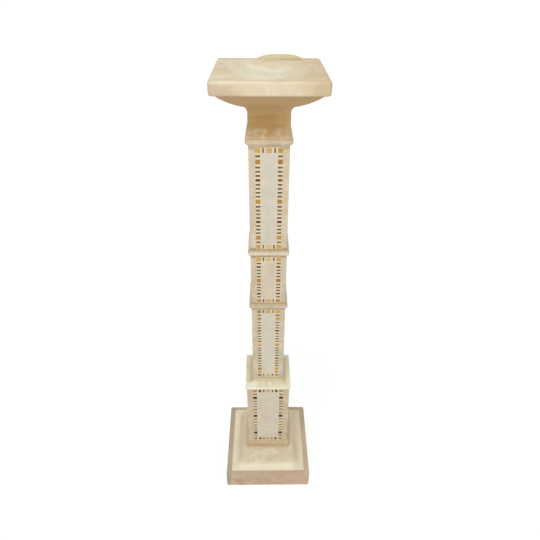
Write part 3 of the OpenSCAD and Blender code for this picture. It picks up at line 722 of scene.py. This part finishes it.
# each profile runs up the outside and down the bore: half width, height over the foot and ease, in mm;
# corner and soft are the plan's corner radius at the widest and further in, wear how deep arrises are worn
stem = {"half": 38.5, "lowerHalf": 54.25}
mouldings = {
    "plinth": {"corner": 5, "soft": 2, "wear": 0.6, "profile": [
        (116.25, 0, 1.2), (116.25, 45.4, 2.0), (114.6, 47, 1.6), (boreHalf, 47, 0.5, "round"),
        (boreHalf, 26, 0.4, "round"), (24, 26, 0.8, "round"), (24, 0, 0.8, "round")]},
    "base_tile": {"corner": 2.4, "soft": 9, "wear": 0.2, "profile": bored(
        [(101.75, 0, 0.4), (101.75, 3, 0.9)] + sweep((99.75, 24), 21, 270, 197.55, 14)
        + [(68.5, 54, 1.0)], 54)},
    "foot_block": {"corner": 1.6, "soft": 1.4, "wear": 0.35, "profile": bored(
        [(60, 0, 0.6), (60, 16.5, 1.2), (stem["lowerHalf"], 18.5, 0.3)], 18.5)},
    "waist_collar": {"corner": 2.4, "soft": 2.2, "wear": 0.25, "profile": bored(
        [(stem["lowerHalf"], 0, 0.3), (57.75, 2.5, 1.4), (57.75, 9, 1.5)]
        + sweep((53.5, 24), 15, 270, 180, 12)[:-1] + [(stem["half"], 24, 0.2)], 24)},
    "lower_ring": {"corner": 2.6, "soft": 1.4, "wear": 0.3, "profile": bored(
        [(stem["half"], 0, 0.2), (43.3, 3, 2.6), (43.3, 14, 3.0)], 14)},
    "neck_ring": {"corner": 2.6, "soft": 1.4, "wear": 0.3, "profile": bored(
        [(stem["half"], 0, 0.2), (44.2, 6, 2.4), (44.2, 13, 3.0)], 13)},
    "neck": {"corner": 1.8, "soft": 1.8, "wear": 0.25, "profile": bored(
        [(42.5, 0, 0.5)] + hollowSweep((38.6, 27), (42.5, 4), 8)[::-1]
        + hollowSweep((38.6, 46.5), (45.5, 59), 8)[:-1] + [(45.5, 59, 0.5)], 59)},
}
mouldings["upper_ring"] = mouldings["lower_ring"]


def makeMoulding(nodeName, s):
    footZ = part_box(nodeName)[0].z / mm
    body = carryRound(nodeName + "Carried", s["profile"], footZ, s["corner"], s["soft"], s["wear"])
    return weighNormals(body)


# basin: bowl, slab and round dish in one path, with the crest joined on; all in mm, turns in degrees
basinSetup = {
    "footHalf": 46, "footEase": 0.6, "bowlHalf": 91, "bowlR": 160,
    "slabHalf": 98.75, "slabZ": 30, "topZ": 53.5, "edge": 4, "corner": 7, "soft": 1.5,
    "wear": 0.0, "arcSteps": 7,
    "dishR": 78.75, "dishDepth": 22, "dishRim": 1.2, "dishSteps": 22, "dishEnd": 270.6,
    "socketR": 12, "socketH": 22, "socketEase": 0.6,
    "crestX": 21, "crestY": 86.75, "crestW": 88, "crestH": 8.5, "crestCrown": 1.5, "crestT": 14,
    "crestSoft": 0.7, "crestSunk": 3.0, "crestSkirt": 0.02, "crestColumns": 48, "crestRows": 18,
}


def makeCrest(s, footZ):
    archH = s["crestH"] + s["crestCrown"]
    archR = (s["crestW"] ** 2 / 4 + archH ** 2) / (2 * archH)
    halfT = s["crestT"] / 2
    ridgeR = (halfT ** 2 + s["crestH"] ** 2) / (2 * s["crestH"])
    sunk = -s["crestSunk"]
    halfW = math.sqrt(archR ** 2 - (archR - archH + sunk) ** 2)
    columns, rows = s["crestColumns"], s["crestRows"]
    verts = []
    for i in range(columns + 1):
        x = halfW * math.cos(math.pi * (1 - i / columns))
        arch = math.sqrt(max(archR ** 2 - x * x, 0)) + archH - archR
        for j in range(rows + 1):
            y = -halfT * math.cos(math.pi * j / rows)
            ridge = math.sqrt(max(ridgeR ** 2 - y * y, 0)) + s["crestH"] - ridgeR
            share = min(max(0.5 + 0.5 * (ridge - arch) / s["crestSoft"], 0), 1)
            z = ridge + (arch - ridge) * share - s["crestSoft"] * share * (1 - share)
            verts.append((x, y, max(z, sunk + s["crestSkirt"])))
        verts += [(x, halfT, sunk), (x, -halfT, sunk)]
    around = rows + 3
    faces = [tuple(range(around)), tuple(reversed(range(columns * around, (columns + 1) * around)))]
    for i in range(columns):
        this, following = i * around, (i + 1) * around
        for k in range(around):
            after = (k + 1) % around
            faces.append((this + after, this + k, following + k, following + after))
    mesh = bpy.data.meshes.new("crest")
    mesh.from_pydata([((x + s["crestX"]) * mm, (y + s["crestY"]) * mm, (z + footZ + s["topZ"]) * mm)
                      for x, y, z in verts], [], faces)
    for face in mesh.polygons:
        face.use_smooth = True
    made = bpy.data.objects.new("crest", mesh)
    scene.collection.objects.link(made)
    return made


def makeBasin(s):
    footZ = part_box("basin")[0].z / mm
    ballR = (s["dishR"] ** 2 + s["dishDepth"] ** 2) / (2 * s["dishDepth"])
    ballZ = s["topZ"] - s["dishDepth"] + ballR
    spread = math.degrees(math.asin(s["dishR"] / ballR))
    dish = [point + ("round",)
            for point in sweep((0, ballZ), ballR, 270 + spread, s["dishEnd"], s["dishSteps"])]
    seat = [(s["socketR"], s["socketH"], 0, "round"), (s["socketR"], 0, s["socketEase"], "round")]
    bowl = [(s["footHalf"], 0, s["footEase"])]
    bowl += bulge((s["footHalf"], 0), (s["bowlHalf"], s["slabZ"]), s["bowlR"])[1:]
    slab = [(s["slabHalf"], s["slabZ"], s["edge"]), (s["slabHalf"], s["topZ"], s["edge"])]
    rim = [dish[0][:2] + (s["dishRim"], "round")]
    body = carryRound("basinCarried", seat + bowl + slab + rim + dish[1:], footZ,
                      s["corner"], s["soft"], s["wear"], closed=False, arcSteps=s["arcSteps"])
    crest = makeCrest(s, footZ)
    joining = body.modifiers.new("crestJoined", "BOOLEAN")
    joining.operation = "UNION"
    joining.solver = "EXACT"
    joining.object = crest
    bakeModifiers(body)
    bpy.data.objects.remove(crest)
    return weighNormals(body)


def ownName(stone, nodeName):
    return stone + "Of" + nodeName.title().replace("_", "")


shaftEase = 0.7                    # arris of the plain shafts and of the recesses in them, mm
for nodeName, block in stoneBlocks.items():
    if nodeName == "basin":
        made = makeBasin(basinSetup)
    elif nodeName in mouldings:
        made = makeMoulding(nodeName, mouldings[nodeName])
    else:
        made = easedCopy(nodeName, shaftEase)
    look = dict(stoneLooks[block["stone"]], **block.get("tones", {}), shift=block["seat"],
                name=ownName(block["stone"], nodeName), marks=block["marks"])
    settle(made, nodeName + "Stone", makeStone(look), nodeName)
print("stone blocks eased", len(stoneBlocks))

# plain fields and cement beds stay the solids that they are
fieldTones = {
    "lower": {"base": "D5CAB4", "cloud": "CFC3AE"},
    "stem_lower": {"base": "D7CEBB", "cloud": "D0C7B4"},
    "stem_middle": {"base": "D6C8B1", "cloud": "CFC1A8"},
    "stem_upper": {"base": "D5CDB9", "cloud": "CFC7B4"},
}
cement = makeStone(dict(stoneLooks["trowelledMosaicCement"], name="trowelledMosaicCement"))
for stageName, tones in fieldTones.items():
    look = dict(stoneLooks["honedGreyLimestone"], **tones, name=ownName("honedGreyLimestone", stageName))
    for kind, stone in (("field", makeStone(look)), ("bed", cement)):
        inlay = nodes[stageName + "_" + kind]
        inlay.data.materials.clear()
        inlay.data.materials.append(stone)
print("fields and beds coloured", 2 * len(fieldTones))

# clamping hardware: eased washer, nut and socket, and a rod with its thread cut at both ends; mm
hardware = {
    "rodRadius": 6.0, "pitch": 1.75, "threadDepth": 0.9, "threadLength": 46.0, "runOut": 4.0,
    "pointLength": 1.4, "pointDepth": 1.15,       # the point is cut a little deeper than the thread
    "around": 24, "perPitch": 5,
    "eased": {"tie_washer": ("zincPlatedSteel", "zinc_steel", 0.4),
              "tie_nut": ("zincPlatedSteel", "zinc_steel", 0.7),
              "rod_socket": ("turnedBrass", "brass_socket", 0.5)},
}


def makeThreadedRod(s):
    low, high = (corner.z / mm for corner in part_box("tie_rod"))
    step = s["pitch"] / s["perPitch"]
    count = int(s["threadLength"] / step)
    levels = [low + step * i for i in range(count + 1)]
    levels += [high - step * (count - i) for i in range(count + 1)]
    verts = []
    for z in levels:
        fromEnd = min(z - low, high - z)
        point = min(fromEnd / s["pointLength"], 1.0)
        runOut = min(max((s["threadLength"] - fromEnd) / s["runOut"], 0.0), 1.0)
        for k in range(s["around"]):
            turn = 2 * math.pi * k / s["around"]
            wave = abs(((z / s["pitch"] - turn / (2 * math.pi)) % 1.0) * 2 - 1)
            cut = max(wave * runOut, s["pointDepth"] - s["pointDepth"] * point)
            radius = s["rodRadius"] - s["threadDepth"] * cut
            verts.append((radius * math.cos(turn) * mm, radius * math.sin(turn) * mm, z * mm))
    around = s["around"]
    faces = []
    for i in range(len(levels) - 1):
        this, following = i * around, (i + 1) * around
        for k in range(around):
            after = (k + 1) % around
            faces.append((this + k, this + after, following + after, following + k))
    faces.append(tuple(reversed(range(around))))
    faces.append(tuple(range((len(levels) - 1) * around, len(levels) * around)))
    mesh = bpy.data.meshes.new("threadedRod")
    mesh.from_pydata(verts, [], faces)
    made = bpy.data.objects.new("threadedRod", mesh)
    scene.collection.objects.link(made)
    return made


settle(makeThreadedRod(hardware), "tie_rodThreaded", metals["zincPlatedSteel"], "tie_rod")
for nodeName, (metal, slotName, ease) in hardware["eased"].items():
    settle(easedCopy(nodeName, ease), nodeName + "Eased", metals[metal], nodeName)
print("rod, washer, nut and socket finished")

# tesserae: Geometry Nodes set a rounded tile at each pocket
tesseraSetup = {
    "ease": 0.35,                  # rounding of a tessera's edges, mm
    "proud": 0.12,                 # how far one may stand out of the bed, mm
    "tilt": 1.3,                   # how far one may lean, degrees
    "seed": 7, "seedStep": 10,     # so that each colour draws its own leans and tones
}
tesseraColours = {
    "gold_tesserae": ("firedGoldGlass", "gold_glass"),
    "pale_gold_tesserae": ("firedPaleGoldGlass", "pale_gold_glass"),
    "dark_tesserae": ("cutDarkStone", "dark_stone_tessera"),
    "brown_tesserae": ("cutBrownStone", "brown_stone_tessera"),
    "red_tesserae": ("cutRedStone", "red_stone_tessera"),
}


def buildTesseraTree():
    tree = bpy.data.node_groups.new("roundedTesserae", "GeometryNodeTree")
    face = tree.interface
    face.new_socket("Geometry", in_out="INPUT", socket_type="NodeSocketGeometry")
    for name in ("Ease", "Proud", "Tilt"):
        face.new_socket(name, in_out="INPUT", socket_type="NodeSocketFloat").min_value = 0.0
    face.new_socket("Seed", in_out="INPUT", socket_type="NodeSocketInt")
    face.new_socket("Material", in_out="INPUT", socket_type="NodeSocketMaterial")
    face.new_socket("Geometry", in_out="OUTPUT", socket_type="NodeSocketGeometry")
    given = addNode(tree, "NodeGroupInput")
    vector, number = {"data_type": "FLOAT_VECTOR"}, {"data_type": "FLOAT"}

    # each pocket keeps its middle and draws a tone, two leans and how far its tile stands out
    place = addNode(tree, "GeometryNodeInputPosition")[0]
    minusTilt = addNode(tree, "ShaderNodeMath", multiply, {0: given["Tilt"], 1: -1.0})[0]
    points = addNode(tree, "GeometryNodeStoreNamedAttribute", dict(vector, domain="POINT"),
                     {"Geometry": given["Geometry"], "Name": "centre", "Value": place})[0]
    draws = {"tone": (0.0, 1.0), "leanX": (minusTilt, given["Tilt"]), "leanZ": (minusTilt, given["Tilt"]),
             "out": (0.0, given["Proud"])}
    for offset, (name, (low, high)) in enumerate(draws.items(), 1):
        seed = addNode(tree, "ShaderNodeMath", add, {0: given["Seed"], 1: offset})[0]
        drawn = addNode(tree, "FunctionNodeRandomValue", number, {2: low, 3: high, "Seed": seed})[1]
        points = addNode(tree, "GeometryNodeStoreNamedAttribute", dict(number, domain="POINT"),
                         {"Geometry": points, "Name": name, "Value": drawn})[0]

    # a cube of 2 with three faces to a side: its outer rows become the rounded edges
    cube = addNode(tree, "GeometryNodeMeshCube", None,
                   {"Size": (2.0, 2.0, 2.0), "Vertices X": 4, "Vertices Y": 4, "Vertices Z": 4})[0]
    cube = addNode(tree, "GeometryNodeStoreNamedAttribute", dict(vector, domain="POINT"),
                   {"Geometry": cube, "Name": "unit", "Value": place})[0]
    tiles = addNode(tree, "GeometryNodeInstanceOnPoints", None,
                    {"Points": points, "Instance": cube})[0]
    tiles = addNode(tree, "GeometryNodeRealizeInstances", None, {"Geometry": tiles})[0]
    kinds = {"unit": vector, "halfSize": vector, "centre": vector, "leanX": number, "leanZ": number,
             "out": number, "turn": number}
    kept = {name: addNode(tree, "GeometryNodeInputNamedAttribute", kind, {"Name": name})[0]
            for name, kind in kinds.items()}

    # side is which way a corner lies, outer which of its three coordinates are at the cube's surface
    roundUp = (0.01, 0.01, 0.01)   # so that a coordinate just short of 1 counts as 1
    side = addNode(tree, "ShaderNodeVectorMath", {"operation": "SIGN"}, {0: kept["unit"]})[0]
    outer = addNode(tree, "ShaderNodeVectorMath", {"operation": "ABSOLUTE"}, {0: kept["unit"]})[0]
    outer = addNode(tree, "ShaderNodeVectorMath", add, {0: outer, 1: roundUp})[0]
    outer = addNode(tree, "ShaderNodeVectorMath", {"operation": "FLOOR"}, {0: outer})[0]
    ease = addNode(tree, "ShaderNodeCombineXYZ", None,
                   {0: given["Ease"], 1: given["Ease"], 2: given["Ease"]})[0]
    inner = addNode(tree, "ShaderNodeVectorMath", subtract, {0: kept["halfSize"], 1: ease})[0]
    inner = addNode(tree, "ShaderNodeVectorMath", multiply, {0: side, 1: inner})[0]
    rounding = addNode(tree, "ShaderNodeVectorMath", multiply, {0: side, 1: outer})[0]
    rounding = addNode(tree, "ShaderNodeVectorMath", {"operation": "NORMALIZE"}, {0: rounding})[0]
    rounding = addNode(tree, "ShaderNodeVectorMath", multiply, {0: rounding, 1: ease})[0]
    local = addNode(tree, "ShaderNodeVectorMath", add, {0: inner, 1: rounding})[0]

    # lean it, stand it out, turn it to its face of the shaft and put it in its pocket
    local = addNode(tree, "ShaderNodeVectorRotate", {"rotation_type": "X_AXIS"},
                    {"Vector": local, "Angle": kept["leanX"]})[0]
    local = addNode(tree, "ShaderNodeVectorRotate", {"rotation_type": "Z_AXIS"},
                    {"Vector": local, "Angle": kept["leanZ"]})[0]
    outward = addNode(tree, "ShaderNodeMath", multiply, {0: kept["out"], 1: -1.0})[0]
    outward = addNode(tree, "ShaderNodeCombineXYZ", None, {1: outward})[0]
    local = addNode(tree, "ShaderNodeVectorMath", add, {0: local, 1: outward})[0]
    local = addNode(tree, "ShaderNodeVectorRotate", {"rotation_type": "Z_AXIS"},
                    {"Vector": local, "Angle": kept["turn"]})[0]
    position = addNode(tree, "ShaderNodeVectorMath", add, {0: kept["centre"], 1: local})[0]
    tiles = addNode(tree, "GeometryNodeSetPosition", None,
                    {"Geometry": tiles, "Position": position})[0]
    tiles = addNode(tree, "GeometryNodeSetMaterial", None,
                    {"Geometry": tiles, "Material": given["Material"]})[0]
    addNode(tree, "NodeGroupOutput", None, {"Geometry": tiles})
    return tree


def pocketsOf(nodeName):
    # middle, half size and turn of every box in a node's solid, found by walking its islands
    shape = bmesh.new()
    shape.from_mesh(nodes[nodeName].data)
    bmesh.ops.remove_doubles(shape, verts=shape.verts, dist=easing["weld"] * mm)
    waiting = set(shape.verts)
    found = []
    while waiting:
        front = [waiting.pop()]
        island = list(front)
        while front:
            for edge in front.pop().link_edges:
                for corner in edge.verts:
                    if corner in waiting:
                        waiting.remove(corner)
                        island.append(corner)
                        front.append(corner)
        low = Vector(min(v.co[i] for v in island) for i in range(3))
        high = Vector(max(v.co[i] for v in island) for i in range(3))
        middle, half = (low + high) / 2, (high - low) / 2
        turn = round(math.atan2(middle.x, -middle.y) / (math.pi / 2)) * math.pi / 2
        facesAcross = abs(math.sin(turn)) > 0.5
        found.append((middle, Vector((half.y, half.x, half.z)) if facesAcross else half, turn))
    shape.free()
    # sorted by height, face and place, so that every run draws the same tones
    return sorted(found, key=lambda f: (round(f[0].z, 5), round(f[2], 2), round(f[0].x + f[0].y, 5)))


tesseraTree = buildTesseraTree()
sockets = {item.name: item.identifier for item in tesseraTree.interface.items_tree
           if item.item_type == "SOCKET" and item.in_out == "INPUT"}
tesseraCount = 0
for number, (nodeName, (materialName, slotName)) in enumerate(tesseraColours.items()):
    pockets = pocketsOf(nodeName)
    mesh = bpy.data.meshes.new(nodeName)
    mesh.from_pydata([p[0] for p in pockets], [], [])
    halfSizes = mesh.attributes.new("halfSize", "FLOAT_VECTOR", "POINT")
    halfSizes.data.foreach_set("vector", [c for p in pockets for c in p[1]])
    turns = mesh.attributes.new("turn", "FLOAT", "POINT")
    turns.data.foreach_set("value", [p[2] for p in pockets])
    setting = bpy.data.objects.new(nodeName + "Set", mesh)
    scene.collection.objects.link(setting)
    modifier = setting.modifiers.new("roundedTesserae", "NODES")
    modifier.node_group = tesseraTree
    modifier[sockets["Ease"]] = tesseraSetup["ease"] * mm
    modifier[sockets["Proud"]] = tesseraSetup["proud"] * mm
    modifier[sockets["Tilt"]] = math.radians(tesseraSetup["tilt"])
    modifier[sockets["Seed"]] = tesseraSetup["seed"] + number * tesseraSetup["seedStep"]
    modifier[sockets["Material"]] = tesseraMaterials[materialName]
    bakeModifiers(setting)
    for spare in ("unit", "centre", "leanX", "leanZ", "out", "halfSize", "turn"):
        if spare in setting.data.attributes:
            setting.data.attributes.remove(setting.data.attributes[spare])
    settle(setting, nodeName + "Mosaic", tesseraMaterials[materialName], nodeName)
    tesseraCount += len(pockets)
print("tesserae set", tesseraCount)

# plain white ground and soft light; metres
studio = {
    "groundSize": 60.0,
    "groundGrey": 0.88,            # what the object sees of it
    "whiteNear": 0.86,             # share of plain white seen in the ground beside the font
    "whiteFade": (0.3, 1.6),       # distances between which that share grows to 1
    "whiteLevel": 1.05,
    "skyStrength": 0.5,
    "lamps": {
        "keySoftbox": {"at": (-0.85, -1.9, 3.0), "aim": (0, 0, 0.6), "size": 1.8, "watts": 50},
        "fillSoftbox": {"at": (1.8, -1.9, 1.7), "aim": (0, 0, 0.6), "size": 1.8, "watts": 13},
        "backSoftbox": {"at": (0.4, 2.2, 2.6), "aim": (0, 0, 0.7), "size": 1.6, "watts": 12},
    },
}
white = (1.0, 1.0, 1.0, 1.0)


def seenDirectly(tree):
    # 1 for what the camera, a reflection or a view through glass meets, 0 for what lights the font
    rays = addNode(tree, "ShaderNodeLightPath")
    seen = addNode(tree, "ShaderNodeMath", maximum,
                   {0: rays["Is Camera Ray"], 1: rays["Is Glossy Ray"]})[0]
    return addNode(tree, "ShaderNodeMath", maximum, {0: seen, 1: rays["Is Transmission Ray"]})[0]


def makeGround(s):
    # matt paper: takes the shadow, shows no reflection
    material, tree = newMaterial("whiteGround")
    grey = (s["groundGrey"], s["groundGrey"], s["groundGrey"], 1.0)
    matt = addNode(tree, "ShaderNodeBsdfDiffuse", None, {"Color": grey})[0]
    bright = addNode(tree, "ShaderNodeEmission", None,
                     {"Color": white, "Strength": s["whiteLevel"]})[0]
    place = addNode(tree, "ShaderNodeTexCoord")["Object"]
    away = addNode(tree, "ShaderNodeVectorMath", length, {0: place})["Value"]
    near, far = s["whiteFade"]
    level = addNode(tree, "ShaderNodeMapRange", softRamp,
                    {"Value": away, "From Min": near, "From Max": far,
                     "To Min": s["whiteNear"], "To Max": 1.0})[0]
    share = addNode(tree, "ShaderNodeMath", multiply, {0: seenDirectly(tree), 1: level})[0]
    mixed = addNode(tree, "ShaderNodeMixShader", None, {0: share, 1: matt, 2: bright})[0]
    addNode(tree, "ShaderNodeOutputMaterial", None, {"Surface": mixed})
    half = s["groundSize"] / 2
    corners = [(-half, -half, 0), (half, -half, 0), (half, half, 0), (-half, half, 0)]
    mesh = bpy.data.meshes.new("ground")
    mesh.from_pydata(corners, [], [(0, 1, 2, 3)])
    mesh.materials.append(material)
    ground = bpy.data.objects.new("ground", mesh)
    scene.collection.objects.link(ground)


def makeSky(s):
    world = bpy.data.worlds.new("plainSky")
    world.use_nodes = True
    tree = world.node_tree
    tree.nodes.clear()
    light = addNode(tree, "ShaderNodeBackground", None,
                    {"Color": white, "Strength": s["skyStrength"]})[0]
    backdrop = addNode(tree, "ShaderNodeBackground", None, {"Color": white, "Strength": 1.0})[0]
    mixed = addNode(tree, "ShaderNodeMixShader", None,
                    {0: seenDirectly(tree), 1: light, 2: backdrop})[0]
    addNode(tree, "ShaderNodeOutputWorld", None, {"Surface": mixed})
    scene.world = world


def makeLamp(name, lamp):
    data = bpy.data.lights.new(name, "AREA")
    data.size = lamp["size"]
    data.energy = lamp["watts"]
    made = bpy.data.objects.new(name, data)
    made.location = lamp["at"]
    made.rotation_euler = (Vector(lamp["aim"]) - Vector(lamp["at"])).to_track_quat("-Z", "Y").to_euler()
    scene.collection.objects.link(made)


makeGround(studio)
makeSky(studio)
for lampName, lamp in studio["lamps"].items():
    makeLamp(lampName, lamp)
print("studio lit")
